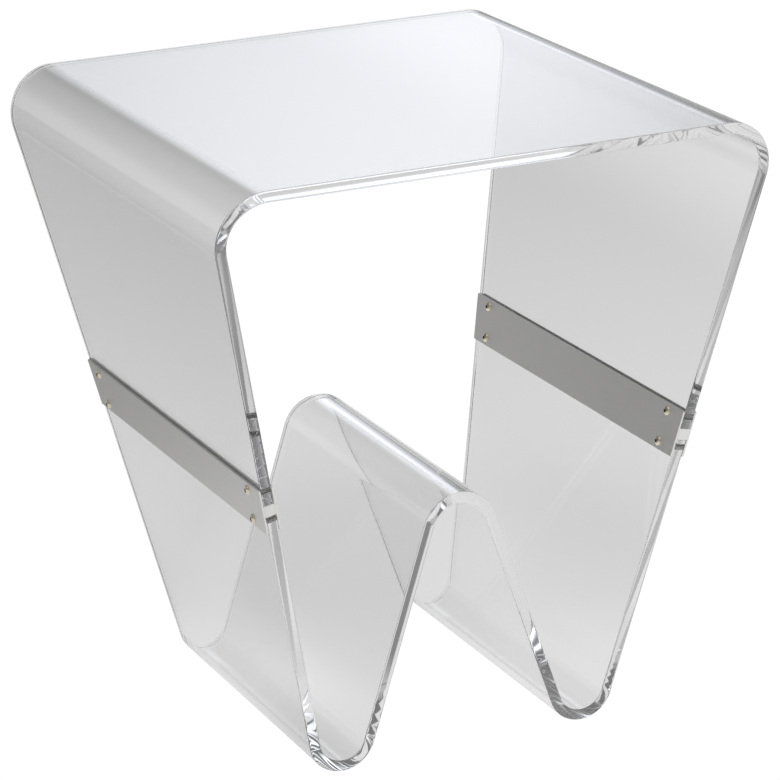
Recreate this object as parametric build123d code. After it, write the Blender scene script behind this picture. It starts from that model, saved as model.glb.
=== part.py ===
from build123d import *
from math import acos, atan2, cos, degrees, hypot, pi, sin
import os

# Magazine rack: two bent sheets of clear acrylic, joined at mid height. On each side their
# ends meet on a metal bar, and a pair of metal straps with connector bolts and sleeve nuts
# clamps both sheets and the bar.
# Frame: X across the rack, Y from the front (-) to the back (+), Z up.
# The origin is on the floor, under the middle of the rack.

# Overall sizes, in millimetres
overall_height = 533.0
overall_width = 481.0  # over the outside of the two top bends
top_depth = 478.0
base_depth = 290.0
foot_spacing = 222.5  # between the lowest lines of the two feet
hump_height = 226.0

# Acrylic sheets; each bend's radius is on its outside
sheet_thickness = 9.5
top_bend_radius = 42.0
foot_bend_radius = 30.0
hump_bend_radius = 34.0
seam_height = 256.8  # middle of the joint, at the outside of the side

# Bars between the ends of the sheets, and straps
bar_height = 10.0
strap_height = 41.5
strap_thickness = 1.6
strap_corner_radius = 1.5
strap_bevel = 0.25

# Connector bolts and sleeve nuts
bolt_row_offset = 13.8  # along the side, from the seam
bolt_end_distance = 24.0  # from the front or back edge of the sheet
head_diameter = 8.0
head_height = 2.9
head_rim_height = 0.9  # straight rim under the dome
socket_width = 3.0  # across flats
socket_depth = 1.5
shank_diameter = 3.9
bore_clearance = 0.1  # on the diameter, between the shank and the sleeve's bore
sleeve_wall = 0.6
hole_clearance = 0.2  # on the diameter, for the holes through straps and sheets
sleeve_floor = 0.8  # solid metal between the bore and the head
sleeve_end_gap = 0.5  # short of the outer strap
bolt_end_gap = 1.0  # short of the bottom of the bore

sleeve_bore = shank_diameter + bore_clearance
sleeve_diameter = sleeve_bore + 2 * sleeve_wall
shank_hole_diameter = shank_diameter + hole_clearance
sleeve_hole_diameter = sleeve_diameter + hole_clearance

side_names = {-1: "left", 1: "right"}
end_names = {-1: "front", 1: "rear"}
row_names = {-1: "lower", 1: "upper"}


def tangent_angle(start, end, reach, turn):
    """Angle of the normal of a line that touches a circle at each of two centres."""
    span = end - start
    return atan2(span.Y, span.X) + turn * acos(reach / hypot(span.X, span.Y))


# Right half of the profile: bend centres as (x, z), and the normals of its straight runs.
# The side touches the top bend and the foot bend from outside, and the leg crosses from
# under the foot bend's centre to over the hump's centre.
top_centre = Vector(overall_width / 2 - top_bend_radius, overall_height - top_bend_radius)
foot_centre = Vector(foot_spacing / 2, foot_bend_radius)
hump_centre = Vector(0, hump_height - hump_bend_radius)
hump_inner_radius = hump_bend_radius - sheet_thickness
side_angle = tangent_angle(foot_centre, top_centre, foot_bend_radius - top_bend_radius, -1)
leg_angle = tangent_angle(foot_centre, hump_centre, foot_bend_radius + hump_inner_radius, 1)
side_normal = Vector(cos(side_angle), sin(side_angle))
side_up = Vector(-sin(side_angle), cos(side_angle))
side_foot = foot_centre + side_normal * foot_bend_radius


def side_point(height):
    """Point on the outside of the right side, as (x, z)."""
    return side_foot + side_up * ((height - side_foot.Y) / side_up.Y)


def half_depth(height):
    """Half of a side's depth, which grows evenly from the foot bend to the top."""
    share = (height - side_foot.Y) / (overall_height - side_foot.Y)
    return base_depth / 2 + (top_depth - base_depth) / 2 * share


def bend(centre, radius, start, end):
    return CenterArc((centre.X, centre.Y), radius, degrees(start), degrees(end - start))


def half_outline(lower, inset):
    """One face of a sheet's right half, from the seam to the middle of the rack."""
    seam = side_point(seam_height) - side_normal * inset
    if lower:
        seam -= side_up * (bar_height / 2)
        foot = bend(foot_centre, foot_bend_radius - inset, side_angle, leg_angle - 2 * pi)
        hump = bend(hump_centre, hump_inner_radius + inset, leg_angle - pi, pi / 2)
        return [Line(seam, foot @ 0), foot, Line(foot @ 1, hump @ 0), hump]
    seam += side_up * (bar_height / 2)
    corner = bend(top_centre, top_bend_radius - inset, side_angle, pi / 2)
    return [Line(seam, corner @ 0), corner, Line(corner @ 1, (0, overall_height - inset))]


def sheet_profile(lower):
    """Closed outline of a bent sheet, standing in the XZ plane."""
    outside = half_outline(lower, 0)
    inside = half_outline(lower, sheet_thickness)
    right = outside + inside + [Line(outside[0] @ 0, inside[0] @ 0)]
    return Plane.XZ * make_face(right + [mirror(edge, about=Plane.YZ) for edge in right])


def side_envelope():
    """Space between the slanted front and back edges of the sides."""
    top, base = top_depth / 2, base_depth / 2
    right = [(base, 0), (base, side_foot.Y), (top, overall_height)]
    left = [(-y, z) for y, z in reversed(right)]
    face = Plane.YZ * make_face(Polyline(*right, *left, close=True))
    return extrude(face, overall_width / 2, both=True)


def leg_trim():
    """Space in front of the legs and the hump, where the sheet keeps the feet's depth."""
    size = (foot_spacing, (top_depth - base_depth) / 2, hump_height)
    block = Box(*size, align=(Align.CENTER, Align.MAX, Align.MIN))
    return Pos(0, -base_depth / 2) * block


def side_plane(side):
    """Plane on the outside of a side at the seam: X along the depth, Y up, Z outwards."""
    point = side_point(seam_height)
    normal = (side * side_normal.X, 0, side_normal.Y)
    return Plane(origin=(side * point.X, 0, point.Y), x_dir=(0, side, 0), z_dir=normal)


def half_depth_at(rise):
    """Half of a side's depth at a distance up the side from the seam."""
    return half_depth(seam_height + rise * side_up.Y)


def bolt_place(side, end, row):
    """Place of a bolt's axis on the side plane."""
    rise = row * bolt_row_offset
    return Pos(side * end * (half_depth_at(rise) - bolt_end_distance), rise)


def rod(diameter, low, high):
    """Round bar along Z, between two levels."""
    align = (Align.CENTER, Align.CENTER, Align.MIN)
    return Pos(0, 0, low) * Cylinder(diameter / 2, high - low, align=align)


def bent_sheet(lower):
    sheet = extrude(sheet_profile(lower), top_depth / 2, both=True) & side_envelope()
    if lower:
        sheet -= [leg_trim(), mirror(leg_trim(), about=Plane.XZ)]
    hole = rod(sleeve_hole_diameter, -2 * sheet_thickness, sheet_thickness)
    for side in side_names:
        for end in end_names:
            sheet -= side_plane(side) * bolt_place(side, end, -1 if lower else 1) * hole
    return sheet


def side_strip(height):
    """Face of a strip along the middle of the joint, flush with the sheets' edges."""
    low, high = -height / 2, height / 2
    right = [(half_depth_at(low), low), (half_depth_at(high), high)]
    left = [(-x, rise) for x, rise in reversed(right)]
    return make_face(Polyline(*right, *left, close=True))


def joint_bar(side):
    """Bar between the two straps that the ends of both sheets rest on."""
    return side_plane(side) * extrude(side_strip(bar_height), -sheet_thickness)


def strap(side, outer):
    """Flat strap on one face of a side."""
    base = 0 if outer else -sheet_thickness - strap_thickness
    face = side_strip(strap_height)
    face = fillet(face.vertices(), strap_corner_radius)
    plate = extrude(face, strap_thickness)
    plate = chamfer(plate.faces().sort_by(Axis.Z)[-1 if outer else 0].edges(), strap_bevel)
    plate = Pos(0, 0, base) * plate
    hole_diameter = shank_hole_diameter if outer else sleeve_hole_diameter
    hole = rod(hole_diameter, base - strap_thickness, base + 2 * strap_thickness)
    for end in end_names:
        for row in row_names:
            plate -= bolt_place(side, end, row) * hole
    return side_plane(side) * plate


def domed_head():
    """Button head that stands on Z = 0, with a hexagon socket in its crown."""
    dome_height = head_height - head_rim_height
    dome_radius = ((head_diameter / 2) ** 2 + dome_height**2) / (2 * dome_height)
    head = rod(head_diameter, 0, head_height) & Pos(0, 0, head_height - dome_radius) * Sphere(dome_radius)
    hexagon = RegularPolygon(socket_width / 2, 6, major_radius=False)
    return head - Pos(0, 0, head_height - socket_depth) * extrude(hexagon, socket_depth)


# Levels along a bolt, with Z = 0 on the outside of the sheet
inner_strap_level = -sheet_thickness - strap_thickness
bore_level = inner_strap_level + sleeve_floor


def connector_bolt():
    """Bolt that stands out of the outer strap."""
    shank = rod(shank_diameter, bore_level + bolt_end_gap, strap_thickness)
    return shank + Pos(0, 0, strap_thickness) * domed_head()


def sleeve_nut():
    """Nut with a sleeve that passes through the inner strap and the sheet."""
    sleeve = rod(sleeve_diameter, inner_strap_level, -sleeve_end_gap)
    head = Pos(0, 0, inner_strap_level) * mirror(domed_head(), about=Plane.XY)
    return sleeve + head - rod(sleeve_bore, bore_level, 0)


nodes = {"table_top_sheet": bent_sheet(lower=False), "magazine_base_sheet": bent_sheet(lower=True)}
for side, side_name in side_names.items():
    nodes[f"{side_name}_joint_bar"] = joint_bar(side)
    nodes[f"{side_name}_outer_strap"] = strap(side, outer=True)
    nodes[f"{side_name}_inner_strap"] = strap(side, outer=False)
    for end, end_name in end_names.items():
        for row, row_name in row_names.items():
            place = side_plane(side) * bolt_place(side, end, row)
            name = f"{side_name}_{end_name}_{row_name}"
            nodes[f"{name}_bolt"] = place * connector_bolt()
            nodes[f"{name}_sleeve_nut"] = place * sleeve_nut()

os.makedirs("parts", exist_ok=True)
for name, solid in nodes.items():
    export_step(solid, f"parts/{name}.step")
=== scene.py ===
import math

import bmesh
import bpy
from mathutils import Matrix, Vector


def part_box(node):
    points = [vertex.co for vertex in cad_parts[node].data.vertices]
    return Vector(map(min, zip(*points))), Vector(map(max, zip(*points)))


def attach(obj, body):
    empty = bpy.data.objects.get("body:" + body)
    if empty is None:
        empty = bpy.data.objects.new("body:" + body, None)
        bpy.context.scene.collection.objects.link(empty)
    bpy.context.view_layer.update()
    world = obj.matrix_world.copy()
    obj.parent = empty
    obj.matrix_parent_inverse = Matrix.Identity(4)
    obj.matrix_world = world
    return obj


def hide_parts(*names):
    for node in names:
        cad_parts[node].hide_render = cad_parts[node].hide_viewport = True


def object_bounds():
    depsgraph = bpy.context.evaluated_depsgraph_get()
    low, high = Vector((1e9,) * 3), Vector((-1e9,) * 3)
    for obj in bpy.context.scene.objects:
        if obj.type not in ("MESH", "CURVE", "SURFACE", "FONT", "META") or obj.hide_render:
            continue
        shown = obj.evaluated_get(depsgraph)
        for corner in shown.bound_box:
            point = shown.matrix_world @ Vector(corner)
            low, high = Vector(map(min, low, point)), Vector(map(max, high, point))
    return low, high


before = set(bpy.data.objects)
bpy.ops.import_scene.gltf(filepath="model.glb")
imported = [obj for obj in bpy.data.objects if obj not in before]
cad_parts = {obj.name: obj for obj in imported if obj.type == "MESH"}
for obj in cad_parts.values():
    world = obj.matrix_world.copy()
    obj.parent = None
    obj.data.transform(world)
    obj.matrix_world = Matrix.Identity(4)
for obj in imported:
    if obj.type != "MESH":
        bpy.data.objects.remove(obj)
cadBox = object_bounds()
print("Frame loaded:", len(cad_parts), "CAD nodes")

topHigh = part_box("table_top_sheet")[1]
rackHeight = topHigh.z
halfWidth = topHigh.x
halfTopDepth = topHigh.y

scene = bpy.context.scene

# How finely the pieces are made, and how their faces are told apart
meshSpec = {
    "bevelAngle": 50,  # degrees: sharper edges than this are rounded
    "drillSteps": 40,
    "sharpAngle": 35,  # degrees: gentler edges than this are shaded smoothly
    "turnedSharpAngle": 40,
    "wallReach": 1.01,  # a hole's walls lie within this share of its radius,
    "wallTilt": 0.3,  # and face no more than this along its axis
    "backFacing": 0.9,  # a strap's back, which takes painted light, faces the sheet at least this squarely
}

# Both acrylic sheets, in metres. Each bend's radius is on its outside.
sheetSpec = {
    "thickness": 0.0095,
    "topBendRadius": 0.042,
    "footBendRadius": 0.030,
    "humpBendRadius": 0.034,
    "humpHeight": 0.226,
    "footSpacing": 0.2225,
    "baseDepth": 0.290,
    "seamHeight": 0.2568,  # middle of the joint
    "barHeight": 0.010,  # metal bar between the ends of the two sheets
    "airGap": 0.00004,  # keeps the clear faces just off the metal straps
    "edgeRadius": 0.0006,
    "edgeSegments": 3,
    "crown": 0.00022,  # the polished edges bulge a little along their middle
    "crownSteps": 6,
    "bendSteps": 40,
    "runStep": 0.02,
}


def newPiece(name, bm):
    mesh = bpy.data.meshes.new(name)
    bm.to_mesh(mesh)
    bm.free()
    piece = bpy.data.objects.new(name, mesh)
    scene.collection.objects.link(piece)
    return piece


def tangentAngle(start, end, reach, turn):
    # angle of the normal of a line that touches a circle at each of two centres
    span = end - start
    return math.atan2(span.y, span.x) + turn * math.acos(reach / span.length)


def direction(angle):
    return Vector((math.cos(angle), math.sin(angle)))


def sideLines(spec):
    # bend centres as (x, z) and the normals of the straight runs, right half
    top = Vector((halfWidth - spec["topBendRadius"], rackHeight - spec["topBendRadius"]))
    foot = Vector((spec["footSpacing"] / 2, spec["footBendRadius"]))
    hump = Vector((0.0, spec["humpHeight"] - spec["humpBendRadius"]))
    humpInner = spec["humpBendRadius"] - spec["thickness"]
    side = tangentAngle(foot, top, spec["footBendRadius"] - spec["topBendRadius"], -1)
    leg = tangentAngle(foot, hump, spec["footBendRadius"] + humpInner, 1)
    normal = direction(side)
    up = Vector((-normal.y, normal.x))
    start = foot + normal * spec["footBendRadius"]
    return {"top": top, "foot": foot, "hump": hump, "humpInner": humpInner, "side": side,
            "leg": leg, "normal": normal, "up": up, "start": start}


lines = sideLines(sheetSpec)


def sidePoint(height):
    return lines["start"] + lines["up"] * ((height - lines["start"].y) / lines["up"].y)


def halfDepth(point, lower, spec):
    # the sides grow deeper from the foot bend to the top; legs and hump keep the feet's depth
    base = spec["baseDepth"] / 2
    if point.y <= lines["start"].y or (lower and abs(point.x) <= lines["foot"].x):
        return base
    share = (point.y - lines["start"].y) / (rackHeight - lines["start"].y)
    return base + (halfTopDepth - base) * share


def arcStations(centre, radius, inner, start, end, steps):
    # pairs of outer and inner points round a bend, both on the same ray
    pairs = []
    for i in range(steps + 1):
        ray = direction(start + (end - start) * i / steps)
        pairs.append((centre + ray * radius, centre + ray * inner))
    return pairs


def runStations(first, last, step):
    # pairs along a straight run, without its two ends
    count = max(2, round((last[0] - first[0]).length / step))
    return [(first[0].lerp(last[0], i / count), first[1].lerp(last[1], i / count))
            for i in range(1, count)]


def halfStations(lower, spec):
    # from the seam to the middle of the rack, on the right
    thickness, gap, steps = spec["thickness"], spec["airGap"], spec["bendSteps"]
    normal = lines["normal"]
    away = (spec["barHeight"] / 2 + gap) * (-1 if lower else 1)  # from the middle of the joint
    seam = sidePoint(spec["seamHeight"]) + lines["up"] * away
    first = (seam - normal * gap, seam - normal * (thickness - gap))
    if lower:
        radius = spec["footBendRadius"]
        foot = arcStations(lines["foot"], radius - gap, radius - thickness + gap,
                           lines["side"], lines["leg"] - 2 * math.pi, steps)
        hump = arcStations(lines["hump"], lines["humpInner"] + gap, spec["humpBendRadius"] - gap,
                           lines["leg"] - math.pi, math.pi / 2, steps)
        return ([first] + runStations(first, foot[0], spec["runStep"]) + foot
                + runStations(foot[-1], hump[0], spec["runStep"]) + hump)
    radius = spec["topBendRadius"]
    corner = arcStations(lines["top"], radius - gap, radius - thickness + gap,
                         lines["side"], math.pi / 2, steps)
    middle = (Vector((0, rackHeight - gap)), Vector((0, rackHeight - thickness + gap)))
    return ([first] + runStations(first, corner[0], spec["runStep"]) + corner
            + runStations(corner[-1], middle, spec["runStep"]) + [middle])


def closeRings(bm, rings):
    # skins a row of rings into one closed surface, capped at both ends
    count = len(rings[0])
    for a, b in zip(rings, rings[1:]):
        for k in range(count):
            bm.faces.new((a[k], a[(k + 1) % count], b[(k + 1) % count], b[k]))
    bm.faces.new(rings[0])
    bm.faces.new(reversed(rings[-1]))
    bmesh.ops.recalc_face_normals(bm, faces=bm.faces)


def bentSheet(name, lower, spec):
    right = halfStations(lower, spec)
    left = [(Vector((-a.x, a.y)), Vector((-b.x, b.y))) for a, b in reversed(right[:-1])]
    bm = bmesh.new()
    rings = []
    shares = [k / spec["crownSteps"] for k in range(spec["crownSteps"] + 1)]
    for outer, inner in right + left:
        reach = halfDepth(outer, lower, spec)  # the edges are cut square to the sheet
        back = [(outer.lerp(inner, share), reach - spec["crown"] * (2 * share - 1) ** 2)
                for share in shares]
        front = [(point, -y) for point, y in reversed(back)]
        rings.append([bm.verts.new((point.x, y, point.y)) for point, y in back + front])
    closeRings(bm, rings)
    return newPiece(name, bm)


def sideMatrix(side, spec):
    # frame on the outside of a side at the seam: X along the depth, Y up, Z outwards
    point = sidePoint(spec["seamHeight"])
    z = Vector((side * lines["normal"].x, 0, lines["normal"].y))
    x = Vector((0, side, 0))
    y = z.cross(x)
    turn = Matrix((x, y, z)).transposed().to_4x4()
    return Matrix.Translation((side * point.x, 0, point.y)) @ turn


def applyModifiers(piece):
    graph = bpy.context.evaluated_depsgraph_get()
    mesh = bpy.data.meshes.new_from_object(piece.evaluated_get(graph))
    piece.modifiers.clear()
    old = piece.data
    piece.data = mesh
    bpy.data.meshes.remove(old)


def roundEdges(piece, radius, segments):
    bevel = piece.modifiers.new("rounded edges", "BEVEL")
    bevel.width = radius
    bevel.segments = segments
    bevel.limit_method = "ANGLE"
    bevel.angle_limit = math.radians(meshSpec["bevelAngle"])
    bevel.use_clamp_overlap = False
    applyModifiers(piece)


def drillHoles(piece, places, diameter, depth):
    bm = bmesh.new()
    for place in places:
        bmesh.ops.create_cone(bm, cap_ends=True, segments=meshSpec["drillSteps"],
                              radius1=diameter / 2, radius2=diameter / 2,
                              depth=depth, matrix=place)
    drill = newPiece("drill", bm)
    cut = piece.modifiers.new("holes", "BOOLEAN")
    cut.operation = "DIFFERENCE"
    cut.solver = "EXACT"
    cut.object = drill
    applyModifiers(piece)
    bpy.data.objects.remove(drill)


def smoothFaces(piece, sharpAngle):
    # flat faces stay flat, and only the bends and rounded edges are shaded smoothly
    piece.data.shade_smooth()
    piece.data.set_sharp_from_angle(angle=math.radians(sharpAngle))
    flatten = piece.modifiers.new("flat faces", "WEIGHTED_NORMAL")
    flatten.mode = "FACE_AREA"
    flatten.weight = 100  # the largest faces decide
    flatten.keep_sharp = True
    applyModifiers(piece)


def register(piece, node):
    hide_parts(node)
    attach(piece, "root")


# Straps and fasteners, in metres
joinSpec = {
    "boltFromSeam": 0.0138,
    "boltFromEdge": 0.024,
    "holeClearance": 0.0002,
    "strapHeight": 0.0415,
    "strapThickness": 0.0016,
    "cornerRadius": 0.0015,
    "cornerSteps": 6,
    "strapBevel": 0.00022,
    "barRounding": 0.0001,
    "barCornerSteps": 2,
    "bevelSegments": 2,
    "headDiameter": 0.008,
    "headHeight": 0.0029,
    "rimHeight": 0.0009,
    "rimEdge": 0.00015,  # small rounding at the foot and the top of the rim
    "rimEase": 0.3,  # share of that rounding above the rim
    "domeShares": (0.2, 0.4, 0.6, 0.8, 0.95),  # rings from the socket to the rim
    "socketWidth": 0.0030,
    "socketDepth": 0.0015,
    "socketDish": 0.0003,  # its floor dips towards the middle
    "socketDishShare": 0.5,
    "socketLip": 0.00012,  # small rounding at its mouth
    "socketShadeReach": 0.53,  # its faces, painted dark as shade in the recess, lie within this share of its width from the axis
    "levelTolerance": 0.00001,  # lower faces than this are under the head
    "shankDiameter": 0.0039,
    "shankChamfer": 0.0002,
    "sleeveDiameter": 0.0052,
    "sleeveBore": 0.0040,
    "sleeveFloor": 0.0008,
    "sleeveEndGap": 0.0005,
    "boltEndGap": 0.0010,
    "turnSteps": 48,
}


def boltPlace(side, end, row, level):
    # on a bolt's axis, at a level above the outside of the sheet
    rise = row * joinSpec["boltFromSeam"]
    height = sheetSpec["seamHeight"] + rise * lines["up"].y
    along = halfDepth(sidePoint(height), False, sheetSpec) - joinSpec["boltFromEdge"]
    return sideMatrix(side, sheetSpec) @ Matrix.Translation((side * end * along, rise, level))


def markHoles(piece, places, radius):
    # the walls of the drilled holes take the second material
    axes = [(place.translation, place.to_3x3().col[2].normalized()) for place in places]
    reach = radius * meshSpec["wallReach"]
    for face in piece.data.polygons:
        for middle, axis in axes:
            away = face.center - middle
            near = (away - axis * away.dot(axis)).length < reach
            if near and abs(face.normal.dot(axis)) < meshSpec["wallTilt"]:
                face.material_index = 1


def buildSheets(spec):
    made = []
    hole = joinSpec["sleeveDiameter"] + joinSpec["holeClearance"]
    for node, lower in (("table_top_sheet", False), ("magazine_base_sheet", True)):
        piece = bentSheet("clear_" + node, lower, spec)
        roundEdges(piece, spec["edgeRadius"], spec["edgeSegments"])
        row = -1 if lower else 1
        places = [boltPlace(side, end, row, -spec["thickness"] / 2)
                  for side in (-1, 1) for end in (-1, 1)]
        drillHoles(piece, places, hole, 2 * spec["thickness"])
        smoothFaces(piece, meshSpec["sharpAngle"])
        markHoles(piece, places, hole / 2)
        register(piece, node)
        made.append(piece)
    print("Sheets made:", [len(piece.data.polygons) for piece in made], "faces")
    return made


def stripOutline(stripHeight, radius, steps):
    # rounded four-sided outline in the side's own plane, flush with the sheets' slanted edges
    corners = []
    for rise in (-stripHeight / 2, stripHeight / 2):
        height = sheetSpec["seamHeight"] + rise * lines["up"].y
        corners.append(Vector((halfDepth(sidePoint(height), False, sheetSpec), rise)))
    low, high = corners
    outline = []
    path = [Vector((-low.x, low.y)), low, high, Vector((-high.x, high.y))]
    for i, corner in enumerate(path):
        before = (path[i - 1] - corner).normalized()
        after = (path[(i + 1) % len(path)] - corner).normalized()
        half = before.angle(after) / 2
        middle = corner + (before + after).normalized() * (radius / math.sin(half))
        start = corner + before * (radius / math.tan(half)) - middle
        sweep = math.pi - 2 * half
        for k in range(steps + 1):
            turn = Matrix.Rotation(sweep * k / steps, 2)
            outline.append(middle + turn @ start)
    return outline


def metalStrip(name, side, outline, base, top, bevel):
    # flat piece between two levels, measured outwards from the outside of the side
    place = sideMatrix(side, sheetSpec)
    bm = bmesh.new()
    low = [bm.verts.new(place @ Vector((p.x, p.y, base))) for p in outline]
    high = [bm.verts.new(place @ Vector((p.x, p.y, top))) for p in outline]
    bm.faces.new(reversed(low))
    bm.faces.new(high)
    for i in range(len(low)):
        j = (i + 1) % len(low)
        bm.faces.new((low[i], low[j], high[j], high[i]))
    bmesh.ops.recalc_face_normals(bm, faces=bm.faces)
    piece = newPiece(name, bm)
    roundEdges(piece, bevel, joinSpec["bevelSegments"])
    return piece


def buildBar(name, side, spec):
    outline = stripOutline(sheetSpec["barHeight"], spec["barRounding"], spec["barCornerSteps"])
    piece = metalStrip(name, side, outline, -sheetSpec["thickness"], 0.0, spec["barRounding"])
    smoothFaces(piece, meshSpec["sharpAngle"])
    return piece


def buildStrap(name, side, outer, spec):
    thickness = spec["strapThickness"]
    base = 0.0 if outer else -sheetSpec["thickness"] - thickness
    outline = stripOutline(spec["strapHeight"], spec["cornerRadius"], spec["cornerSteps"])
    piece = metalStrip(name, side, outline, base, base + thickness, spec["strapBevel"])
    hole = (spec["shankDiameter"] if outer else spec["sleeveDiameter"]) + spec["holeClearance"]
    places = [boltPlace(side, end, row, base + thickness / 2)
              for end in (-1, 1) for row in (-1, 1)]
    drillHoles(piece, places, hole, 3 * thickness)
    smoothFaces(piece, meshSpec["sharpAngle"])
    outwards = sideMatrix(side, sheetSpec).to_3x3().col[2]
    for face in piece.data.polygons:
        if face.normal.dot(outwards) * (-1 if outer else 1) > meshSpec["backFacing"]:
            face.material_index = 1  # the back of the strap, against the sheet, takes the painted light
    return piece


def hexRadius(angle, width):
    # from the middle of a hexagon to its side, in one direction
    sixth = math.pi / 3
    return width / 2 / math.cos((angle + sixth / 2) % sixth - sixth / 2)


def headRings(spec):
    # rings of a domed head standing on zero, from the middle of the socket outwards
    radius = spec["headDiameter"] / 2
    dome = spec["headHeight"] - spec["rimHeight"]
    ball = (radius ** 2 + dome ** 2) / (2 * dome)
    steps = spec["turnSteps"]
    angles = [2 * math.pi * k / steps for k in range(steps)]
    hexagon = [(hexRadius(a, spec["socketWidth"]), a) for a in angles]
    lip, edge, ease = spec["socketLip"], spec["rimEdge"], spec["rimEdge"] * spec["rimEase"]
    dish, dishShare = spec["socketDish"], spec["socketDishShare"]

    def onDome(r):
        return spec["headHeight"] - ball + math.sqrt(ball ** 2 - r ** 2)

    floor = spec["headHeight"] - spec["socketDepth"]
    rings = [[(r * dishShare, a, floor - dish) for r, a in hexagon]]
    rings.append([(r, a, floor) for r, a in hexagon])
    rings.append([(r, a, onDome(r) - lip) for r, a in hexagon])
    rings.append([(r + lip, a, onDome(r + lip)) for r, a in hexagon])
    for share in spec["domeShares"]:
        ring = []
        for socketRadius, a in hexagon:
            inner = socketRadius + lip
            r = inner + (radius - inner) * share
            ring.append((r, a, onDome(r)))
        rings.append(ring)
    rings.append([(radius - ease, a, spec["rimHeight"] + ease) for a in angles])
    rings.append([(radius, a, spec["rimHeight"] - edge) for a in angles])
    rings.append([(radius, a, edge) for a in angles])
    rings.append([(radius - edge, a, 0.0) for a in angles])
    return rings


def turnedPiece(name, rings, place):
    # one turned piece, from rings of radius, angle and height along its axis
    bm = bmesh.new()
    closeRings(bm, [[bm.verts.new(place @ Vector((r * math.cos(a), r * math.sin(a), z)))
                     for r, a, z in ring] for ring in rings])
    piece = newPiece(name, bm)
    smoothFaces(piece, meshSpec["turnedSharpAngle"])
    back = place.inverted()
    for face in piece.data.polygons:
        middle = back @ face.center
        if middle.z < -joinSpec["levelTolerance"]:
            face.material_index = 1  # the shank or sleeve under the head
        elif middle.xy.length < joinSpec["socketWidth"] * joinSpec["socketShadeReach"]:
            face.material_index = 2  # the socket, painted dark as shade in its recess
    return piece


def circle(radius, z, steps):
    return [(radius, 2 * math.pi * k / steps, z) for k in range(steps)]


def boltRings(spec):
    steps, radius, chamfer = spec["turnSteps"], spec["shankDiameter"] / 2, spec["shankChamfer"]
    end = (-sheetSpec["thickness"] - 2 * spec["strapThickness"]
           + spec["sleeveFloor"] + spec["boltEndGap"])
    return headRings(spec) + [circle(radius, 0.0, steps), circle(radius, end + chamfer, steps),
                              circle(radius - chamfer, end, steps)]


def nutRings(spec):
    # measured outwards from the inner strap, along the sleeve nut's own axis
    steps = spec["turnSteps"]
    end = -sheetSpec["thickness"] - spec["strapThickness"] + spec["sleeveEndGap"]
    outer, bore = spec["sleeveDiameter"] / 2, spec["sleeveBore"] / 2
    return headRings(spec) + [circle(outer, 0.0, steps), circle(outer, end, steps),
                              circle(bore, end, steps), circle(bore, -spec["sleeveFloor"], steps)]


def buildJoins(spec):
    straps, fasteners = [], []
    outerLevel = spec["strapThickness"]
    innerLevel = -sheetSpec["thickness"] - spec["strapThickness"]
    flip = Matrix.Rotation(math.pi, 4, "X")  # the sleeve nuts face the other way
    for side, sideName in ((-1, "left"), (1, "right")):
        straps.append(buildBar(f"satin_{sideName}_joint_bar", side, spec))
        register(straps[-1], sideName + "_joint_bar")
        for outer, face in ((True, "outer"), (False, "inner")):
            node = f"{sideName}_{face}_strap"
            straps.append(buildStrap("satin_" + node, side, outer, spec))
            register(straps[-1], node)
        for end, endName in ((-1, "front"), (1, "rear")):
            for row, rowName in ((-1, "lower"), (1, "upper")):
                node = f"{sideName}_{endName}_{rowName}"
                outside = boltPlace(side, end, row, outerLevel)
                inside = boltPlace(side, end, row, innerLevel) @ flip
                bolt = turnedPiece(f"turned_{node}_bolt", boltRings(spec), outside)
                nut = turnedPiece(f"turned_{node}_sleeve_nut", nutRings(spec), inside)
                register(bolt, node + "_bolt")
                register(nut, node + "_sleeve_nut")
                fasteners += [bolt, nut]
    print("Joins made:", len(straps), "bars and straps,", len(fasteners), "fasteners")
    return straps, fasteners


sheets = buildSheets(sheetSpec)
straps, fasteners = buildJoins(joinSpec)

acrylicSpec = {
    "colour": (0.91, 0.91, 0.91, 1.0),
    "ior": 1.49,
    "roughness": (0.0, 0.02),  # clean, and where it has been handled
    "edgeRoughness": 0.05,  # added on the polished edges
    "edgeFacing": (0.3, 0.8),  # how far such an edge turns to the front or back
    "drilledRoughness": (0.35, 0.5),
    "waveSize": 0.035,
    "waveHeight": 0.0000045,
    "edgeWaveSize": 0.012,
    "edgeWaveHeight": 0.000006,
    "markSize": 0.05,
    "markCover": 0.4,
}
strapSpec = {
    "colour": (0.87, 0.865, 0.85),
    "shade": 0.05,
    "metallic": 1.0,
    "roughness": (0.46, 0.56),
    "grainAcross": 3200.0,
    "grainAlong": 40.0,
    "grainHeight": 0.000004,
    "markSize": 0.03,
    "markCover": 0.6,
}
# a lighter, matt copy of the strap finish for the face against the sheet, which shows through it:
# painted light that lifts the shade along the strap's edge seen through the sheet
paintedLightStrapBackSpec = dict(strapSpec, colour=(0.92, 0.92, 0.90), metallic=0.0, roughness=(0.6, 0.7))
fastenerSpec = {
    "colour": (0.93, 0.86, 0.68),
    "shade": 0.06,
    "metallic": 1.0,
    "roughness": (0.04, 0.09),
    "grainAcross": 900.0,
    "grainAlong": 900.0,
    "grainHeight": 0.000001,
    "markSize": 0.004,
    "markCover": 0.6,
}
sleeveSpec = dict(fastenerSpec, colour=(0.86, 0.85, 0.83), shade=0.1, metallic=0.0,
                  roughness=(0.5, 0.6), grainHeight=0.000002)
# the socket's faces take a dark copy of the sleeve finish: painted shade in the recess
socketShadeSpec = dict(sleeveSpec, colour=(0.16, 0.155, 0.14), metallic=0.6)

# Marks and grain shared by the finishes
surfaceSpec = {
    "patchDetail": 3.0,
    "streakFineness": 6.0,  # times finer than the patches
    "streakDetail": 4.0,
    "markStart": 0.4,  # where marks begin at no cover
    "markSpread": -0.3,  # and how much sooner at full cover
    "markFull": 0.45,
    "grainDetail": 3.0,
}


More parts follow.
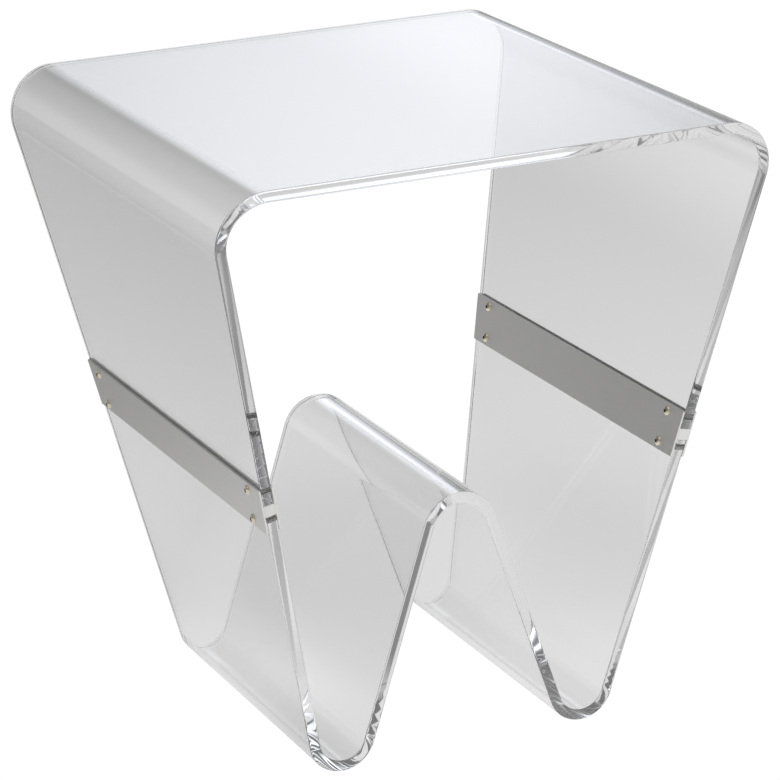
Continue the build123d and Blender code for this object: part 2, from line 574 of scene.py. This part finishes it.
def newMaterial(name, kind="ShaderNodeBsdfPrincipled"):
    material = bpy.data.materials.new(name)
    material.use_nodes = True
    tree = material.node_tree
    tree.nodes.clear()
    output = tree.nodes.new("ShaderNodeOutputMaterial")
    shader = tree.nodes.new(kind)
    tree.links.new(shader.outputs[0], output.inputs["Surface"])
    return material, tree, shader


def setInput(tree, socket, value):
    if isinstance(value, bpy.types.NodeSocket):
        tree.links.new(value, socket)
    else:
        socket.default_value = value


def mathNode(tree, operation, *values):
    node = tree.nodes.new("ShaderNodeMath")
    node.operation = operation
    for socket, value in zip(node.inputs, values):
        setInput(tree, socket, value)
    return node.outputs[0]


def vectorNode(tree, operation, *values):
    node = tree.nodes.new("ShaderNodeVectorMath")
    node.operation = operation
    for socket, value in zip(node.inputs, values):
        setInput(tree, socket, value)
    return node


def scaledColour(tree, colour, amount):
    node = vectorNode(tree, "SCALE", colour)
    tree.links.new(amount, node.inputs["Scale"])
    return node.outputs[0]


def rangeNode(tree, value, lowIn, highIn, lowOut, highOut):
    node = tree.nodes.new("ShaderNodeMapRange")
    node.interpolation_type = "SMOOTHSTEP"
    for name, number in (("Value", value), ("From Min", lowIn), ("From Max", highIn),
                         ("To Min", lowOut), ("To Max", highOut)):
        setInput(tree, node.inputs[name], number)
    return node.outputs["Result"]


def noiseNode(tree, vector, scale, detail=2.0):
    node = tree.nodes.new("ShaderNodeTexNoise")
    setInput(tree, node.inputs["Vector"], vector)
    setInput(tree, node.inputs["Scale"], scale)
    node.inputs["Detail"].default_value = detail
    return node.outputs[0]


def newGroup(name, inputs, outputs):
    group = bpy.data.node_groups.new(name, "ShaderNodeTree")
    for title, value in inputs:
        socket = group.interface.new_socket(title, in_out="INPUT", socket_type="NodeSocketFloat")
        socket.default_value = value
    for title in outputs:
        group.interface.new_socket(title, in_out="OUTPUT", socket_type="NodeSocketFloat")
    given = group.nodes.new("NodeGroupInput").outputs
    result = group.nodes.new("NodeGroupOutput").inputs
    return group, given, result


def handlingGroup():
    # soft patches where hands have dulled the polish
    spec = surfaceSpec
    group, given, result = newGroup("handling marks", [("Size", 0.05), ("Cover", 0.5)], ["Mask"])
    place = group.nodes.new("ShaderNodeNewGeometry").outputs["Position"]
    scale = mathNode(group, "DIVIDE", 1.0, given["Size"])
    patches = noiseNode(group, place, scale, spec["patchDetail"])
    fine = mathNode(group, "MULTIPLY", scale, spec["streakFineness"])
    streaks = noiseNode(group, place, fine, spec["streakDetail"])
    both = mathNode(group, "MULTIPLY", patches, streaks)
    start = mathNode(group, "MULTIPLY_ADD", given["Cover"], spec["markSpread"], spec["markStart"])
    group.links.new(rangeNode(group, both, start, spec["markFull"], 0.0, 1.0), result["Mask"])
    return group


def grainGroup():
    # fine lines left by the finishing belt, along the depth of the rack
    inputs = [("Across", 3000.0), ("Along", 40.0), ("Shade", 0.1)]
    group, given, result = newGroup("finishing grain", inputs, ["Tone", "Height"])
    place = group.nodes.new("ShaderNodeNewGeometry").outputs["Position"]
    stretch = group.nodes.new("ShaderNodeCombineXYZ")
    for axis, key in (("X", "Across"), ("Y", "Along"), ("Z", "Across")):
        group.links.new(given[key], stretch.inputs[axis])
    scaled = vectorNode(group, "MULTIPLY", place, stretch.outputs[0])
    fineLines = noiseNode(group, scaled.outputs[0], 1.0, surfaceSpec["grainDetail"])
    group.links.new(fineLines, result["Height"])
    # the lines swing half a unit each way, so the tone swings by the shade each way round one
    swing = mathNode(group, "MULTIPLY", mathNode(group, "SUBTRACT", fineLines, 0.5), given["Shade"])
    tone = mathNode(group, "ADD", mathNode(group, "MULTIPLY", swing, 2.0), 1.0)
    group.links.new(tone, result["Tone"])
    return group


handlingMarks = handlingGroup()
finishingGrain = grainGroup()


def useGroup(tree, group, **values):
    node = tree.nodes.new("ShaderNodeGroup")
    node.node_tree = group
    for title, value in values.items():
        setInput(tree, node.inputs[title], value)
    return node.outputs


def bumpNode(tree, height, distance):
    node = tree.nodes.new("ShaderNodeBump")
    node.inputs["Distance"].default_value = distance
    tree.links.new(height, node.inputs["Height"])
    return node


def clearAcrylic(name, spec, roughness):
    material, tree, shader = newMaterial(name)
    shader.inputs["Base Color"].default_value = spec["colour"]
    shader.inputs["IOR"].default_value = spec["ior"]
    shader.inputs["Transmission Weight"].default_value = 1.0
    marks = useGroup(tree, handlingMarks, Size=spec["markSize"], Cover=spec["markCover"])["Mask"]
    geometry = tree.nodes.new("ShaderNodeNewGeometry")
    place = geometry.outputs["Position"]
    split = tree.nodes.new("ShaderNodeSeparateXYZ")
    tree.links.new(geometry.outputs["True Normal"], split.inputs[0])
    facing = mathNode(tree, "ABSOLUTE", split.outputs["Y"])
    edge = rangeNode(tree, facing, *spec["edgeFacing"], 0, 1)
    handled = rangeNode(tree, marks, 0, 1, *roughness)
    edgeHaze = mathNode(tree, "MULTIPLY", edge, spec["edgeRoughness"])
    tree.links.new(mathNode(tree, "ADD", handled, edgeHaze), shader.inputs["Roughness"])
    # slow waves from casting on the faces, and shorter ones from polishing on the cut edges
    slow = bumpNode(tree, noiseNode(tree, place, 1 / spec["waveSize"]), spec["waveHeight"])
    polish = mathNode(tree, "MULTIPLY", noiseNode(tree, place, 1 / spec["edgeWaveSize"]), edge)
    short = bumpNode(tree, polish, spec["edgeWaveHeight"])
    tree.links.new(slow.outputs[0], short.inputs["Normal"])
    tree.links.new(short.outputs[0], shader.inputs["Normal"])
    return material


def finishedMetal(name, spec):
    material, tree, shader = newMaterial(name)
    shader.inputs["Metallic"].default_value = spec["metallic"]
    grain = useGroup(tree, finishingGrain, Across=spec["grainAcross"],
                     Along=spec["grainAlong"], Shade=spec["shade"])
    colour = scaledColour(tree, spec["colour"], grain["Tone"])
    tree.links.new(colour, shader.inputs["Base Color"])
    marks = useGroup(tree, handlingMarks, Size=spec["markSize"], Cover=spec["markCover"])["Mask"]
    tree.links.new(rangeNode(tree, marks, 0, 1, *spec["roughness"]), shader.inputs["Roughness"])
    bump = bumpNode(tree, grain["Height"], spec["grainHeight"])
    tree.links.new(bump.outputs[0], shader.inputs["Normal"])
    return material


acrylic = clearAcrylic("clear acrylic", acrylicSpec, acrylicSpec["roughness"])
drilledAcrylic = clearAcrylic("drilled acrylic", acrylicSpec, acrylicSpec["drilledRoughness"])
strapMetal = finishedMetal("satin strap metal", strapSpec)
paintedLightStrapBack = finishedMetal("matt strap back with painted light", paintedLightStrapBackSpec)
fastenerMetal = finishedMetal("polished warm nickel", fastenerSpec)
sleeveMetal = finishedMetal("plain sleeve metal", sleeveSpec)
socketShadeMetal = finishedMetal("socket painted shade", socketShadeSpec)
finishes = (
    (sheets, (acrylic, drilledAcrylic)),
    (straps, (strapMetal, paintedLightStrapBack)),
    (fasteners, (fastenerMetal, sleeveMetal, socketShadeMetal)),
)
for pieces, materials in finishes:
    for piece in pieces:
        for material in materials:
            piece.data.materials.append(material)
print("Materials set")

studioSpec = {
    "floorSize": 60.0,
    "floorDrop": 0.0005,  # below the feet
    "floorSeen": 1.02,  # brightness of the floor itself
    # brightness the floor lends to the clear sheets: it fades outwards, and fastest to the left
    "lentMiddle": 0.944,
    "lentFade": -0.133,
    "leftFade": -1.986,
    "leftEase": 0.73,
    "leftLeast": -0.6,
    "lentMost": 0.84,
    "lentFarRight": (0.85, 1.15, 0.0, 0.17),  # a little more beyond the right side
    "lentPatches": (
        {"middle": (0.17, 0.28, 0.0), "reach": (0.1, 0.36), "change": -0.08},  # behind the legs
        {"middle": (-0.18, 0.11, 0.0), "reach": (0.08, 0.22), "change": 0.1},  # under the left side
    ),
    "lentLeast": (0.62, 0.22),  # in front, and at the back
    "leastFrom": (0.2, 0.6),
    "room": (0.32, 0.16),  # brightness of the room, in front and at the back
    "roomFade": (-0.7, 0.4),  # where it changes from one to the other
    # soft lamps: colour, and the degrees where each begins, is full, fades and ends
    "lamps": (
        {"colour": (1.07, 1.10, 1.19), "bearing": (8, 26, 25.5, 34), "rise": (-2, 8, 24, 40)},
        {"colour": (0.33, 0.34, 0.36), "bearing": (14, 20, 28, 34), "rise": (16.5, 20, 26, 32)},
        {"colour": (0.34, 0.34, 0.34), "bearing": (-80, -56, -14, 0), "rise": (-20, -5, 8, 22)},
        {"colour": (0.60, 0.585, 0.56), "bearing": (110, 150, 200, 240), "rise": (-20, 0, 30, 60)},
        {"colour": (0.8, 0.8, 0.8), "bearing": (-200, -190, 190, 200), "rise": (50, 70, 100, 110)},
    ),
    "bounces": 64,  # light runs far inside the clear sheets
}


def buildFloor(spec):
    bm = bmesh.new()
    bmesh.ops.create_grid(bm, x_segments=1, y_segments=1, size=spec["floorSize"] / 2)
    floor = newPiece("studio_floor", bm)
    floor.location.z = cadBox[0].z - spec["floorDrop"]
    material, tree, glow = newMaterial("pale floor", "ShaderNodeEmission")
    place = tree.nodes.new("ShaderNodeNewGeometry").outputs["Position"]
    split = tree.nodes.new("ShaderNodeSeparateXYZ")
    tree.links.new(place, split.inputs[0])
    x, y = split.outputs["X"], split.outputs["Y"]
    reach = vectorNode(tree, "LENGTH", place).outputs["Value"]
    left = mathNode(tree, "MAXIMUM", mathNode(tree, "MULTIPLY", x, -1.0), 0.0)
    lent = mathNode(tree, "MULTIPLY_ADD", reach, spec["lentFade"], spec["lentMiddle"])
    ease = mathNode(tree, "MULTIPLY_ADD", reach, spec["leftEase"], spec["leftFade"])
    ease = mathNode(tree, "MINIMUM", ease, spec["leftLeast"])
    lent = mathNode(tree, "MULTIPLY_ADD", left, ease, lent)
    lent = mathNode(tree, "MINIMUM", lent, spec["lentMost"])
    lent = mathNode(tree, "ADD", lent, rangeNode(tree, x, *spec["lentFarRight"]))
    for patch in spec["lentPatches"]:
        apart = vectorNode(tree, "DISTANCE", place, patch["middle"]).outputs["Value"]
        change = rangeNode(tree, apart, *patch["reach"], patch["change"], 0.0)
        lent = mathNode(tree, "ADD", lent, change)
    least = rangeNode(tree, y, *spec["leastFrom"], *spec["lentLeast"])
    lent = mathNode(tree, "MAXIMUM", lent, least)
    # the camera sees a plain floor, and only reflected and bent light meets the lent brightness
    rays = tree.nodes.new("ShaderNodeLightPath")
    mix = tree.nodes.new("ShaderNodeMix")
    tree.links.new(rays.outputs["Is Camera Ray"], mix.inputs["Factor"])
    tree.links.new(lent, mix.inputs["A"])
    mix.inputs["B"].default_value = spec["floorSeen"]
    tree.links.new(mix.outputs["Result"], glow.inputs["Strength"])
    floor.data.materials.append(material)


def buildWorld(spec):
    world = bpy.data.worlds.new("studio")
    scene.world = world
    world.use_nodes = True
    tree = world.node_tree
    background = tree.nodes["Background"]
    coords = tree.nodes.new("ShaderNodeTexCoord")
    split = tree.nodes.new("ShaderNodeSeparateXYZ")
    tree.links.new(coords.outputs["Generated"], split.inputs[0])
    x, y, z = (split.outputs[name] for name in "XYZ")
    bearing = mathNode(tree, "DEGREES", mathNode(tree, "ARCTAN2", x, y))
    rise = mathNode(tree, "DEGREES", mathNode(tree, "ARCSINE", z))
    room = rangeNode(tree, y, *spec["roomFade"], *spec["room"])
    grey = tree.nodes.new("ShaderNodeCombineXYZ")
    for socket in grey.inputs:
        tree.links.new(room, socket)
    glow = grey.outputs[0]
    for lamp in spec["lamps"]:
        mask = 1.0
        for angle, key in ((bearing, "bearing"), (rise, "rise")):
            begin, full, fade, end = lamp[key]
            mask = mathNode(tree, "MULTIPLY", mask, rangeNode(tree, angle, begin, full, 0, 1))
            mask = mathNode(tree, "MULTIPLY", mask, rangeNode(tree, angle, fade, end, 1, 0))
        light = scaledColour(tree, lamp["colour"], mask)
        glow = vectorNode(tree, "ADD", glow, light).outputs[0]
    tree.links.new(glow, background.inputs["Color"])


buildFloor(studioSpec)
buildWorld(studioSpec)

cameraSpec = {
    "place": (-1.2126, -2.6779, 1.2603),
    "turn": math.radians(24.35),
    "tilt": math.radians(-18.63),
    "roll": math.radians(-1.59),
    "lens": 168.16,
    "shift": (0.0091, 0.0039),
    "sensorWidth": 36.0,
    "clipEnd": 200.0,
}


def buildCamera(spec):
    data = bpy.data.cameras.new("camera")
    camera = bpy.data.objects.new("camera", data)
    scene.collection.objects.link(camera)
    turn, tilt, roll = spec["turn"], spec["tilt"], spec["roll"]
    forward = Vector((math.sin(turn) * math.cos(tilt),
                      math.cos(turn) * math.cos(tilt),
                      math.sin(tilt)))
    right = Vector((math.cos(turn), -math.sin(turn), 0))
    up = right.cross(forward)
    sideways = right * math.cos(roll) + up * math.sin(roll)
    upright = up * math.cos(roll) - right * math.sin(roll)
    facing = Matrix((sideways, upright, -forward)).transposed().to_4x4()
    camera.matrix_world = Matrix.Translation(spec["place"]) @ facing
    data.lens = spec["lens"]
    data.sensor_width = spec["sensorWidth"]
    data.shift_x, data.shift_y = spec["shift"]
    data.clip_end = spec["clipEnd"]
    scene.camera = camera


buildCamera(cameraSpec)
scene.view_settings.view_transform = "Standard"
scene.cycles.max_bounces = studioSpec["bounces"]
scene.cycles.transmission_bounces = studioSpec["bounces"]
scene.cycles.glossy_bounces = studioSpec["bounces"]
print("Studio ready")
